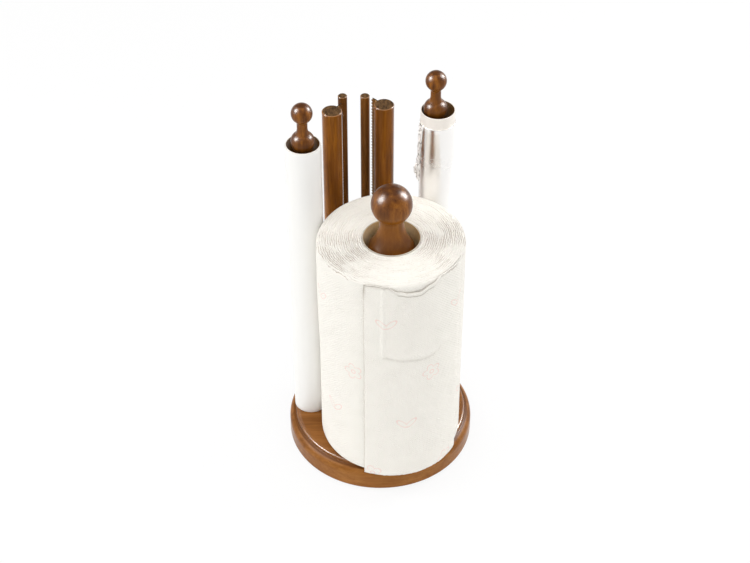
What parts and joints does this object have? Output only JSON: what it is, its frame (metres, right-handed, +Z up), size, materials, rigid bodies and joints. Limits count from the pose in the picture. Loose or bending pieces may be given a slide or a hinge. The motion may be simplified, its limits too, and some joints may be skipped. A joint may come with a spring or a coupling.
{
  "type": "roll holder",
  "caption": "Round wooden stand with turned posts for a kitchen roll, a film roll and a foil roll, and toothed cutting strips beside guide dowels",
  "frame": {"origin": "middle of the face that the stand rests on, under the felt pad on the board's own axis", "axes": "+X to the right and +Y to the back, seen from the front, where the kitchen roll stands; +Z up"},
  "size_m": [0.1732, 0.1804, 0.3791],
  "materials": {
    "board_wood": "satin",
    "dowel_wood": "satin",
    "knob_wood": "gloss",
    "felt": "matte",
    "strip_steel": "satin",
    "screw_steel": "satin",
    "core_board": "matte",
    "white_core": "matte",
    "kitchen_paper": "matte",
    "cling_film": "gloss",
    "foil": "gloss"
  },
  "bodies": {
    "stand": {"base": "board_wood", "felt_pad_middle": "felt", "felt_pad_1": "felt", "felt_pad_2": "felt", "felt_pad_3": "felt", "felt_pad_4": "felt", "paper_post": "dowel_wood", "film_post": "dowel_wood", "foil_post": "dowel_wood", "paper_finial": "knob_wood", "film_finial": "knob_wood", "foil_finial": "knob_wood", "cutter_post_left": "dowel_wood", "cutter_post_right": "dowel_wood", "guide_dowel_left": "dowel_wood", "guide_dowel_right": "dowel_wood", "serrated_strip_left": "strip_steel", "serrated_strip_right": "strip_steel", "post_screw_paper": "screw_steel", "post_screw_film": "screw_steel", "post_screw_foil": "screw_steel", "post_screw_cutter_left": "screw_steel", "post_screw_cutter_right": "screw_steel"},
    "paper_core": {"paper_core": "core_board"},
    "paper_wound": {"paper_roll": "kitchen_paper", "paper_free_sheet": "kitchen_paper"},
    "film_core": {"film_core": "white_core"},
    "film_wound": {"film_roll": "cling_film"},
    "foil_core": {"foil_core": "white_core"},
    "foil_wound": {"foil_roll": "foil", "foil_free_end": "foil"}
  },
  "joints": [
    {"name": "paper_lift", "type": "slide", "parent": "stand", "child": "paper_core", "axis": [0, 0, 1], "range_m": [0, 0.29]},
    {"name": "paper_turn", "type": "hinge", "parent": "paper_core", "child": "paper_wound", "pos_m": [0.00929, -0.02842, 0.027], "axis": [0, 0, 1], "continuous": true},
    {"name": "film_lift", "type": "slide", "parent": "stand", "child": "film_core", "axis": [0, 0, 1], "range_m": [0, 0.35]},
    {"name": "film_turn", "type": "hinge", "parent": "film_core", "child": "film_wound", "pos_m": [-0.06593, 0.00398, 0.027], "axis": [0, 0, 1], "continuous": true},
    {"name": "foil_lift", "type": "slide", "parent": "stand", "child": "foil_core", "axis": [0, 0, 1], "range_m": [0, 0.36]},
    {"name": "foil_turn", "type": "hinge", "parent": "foil_core", "child": "foil_wound", "pos_m": [0.04924, 0.04307, 0.027], "axis": [0, 0, 1], "continuous": true}
  ]
}
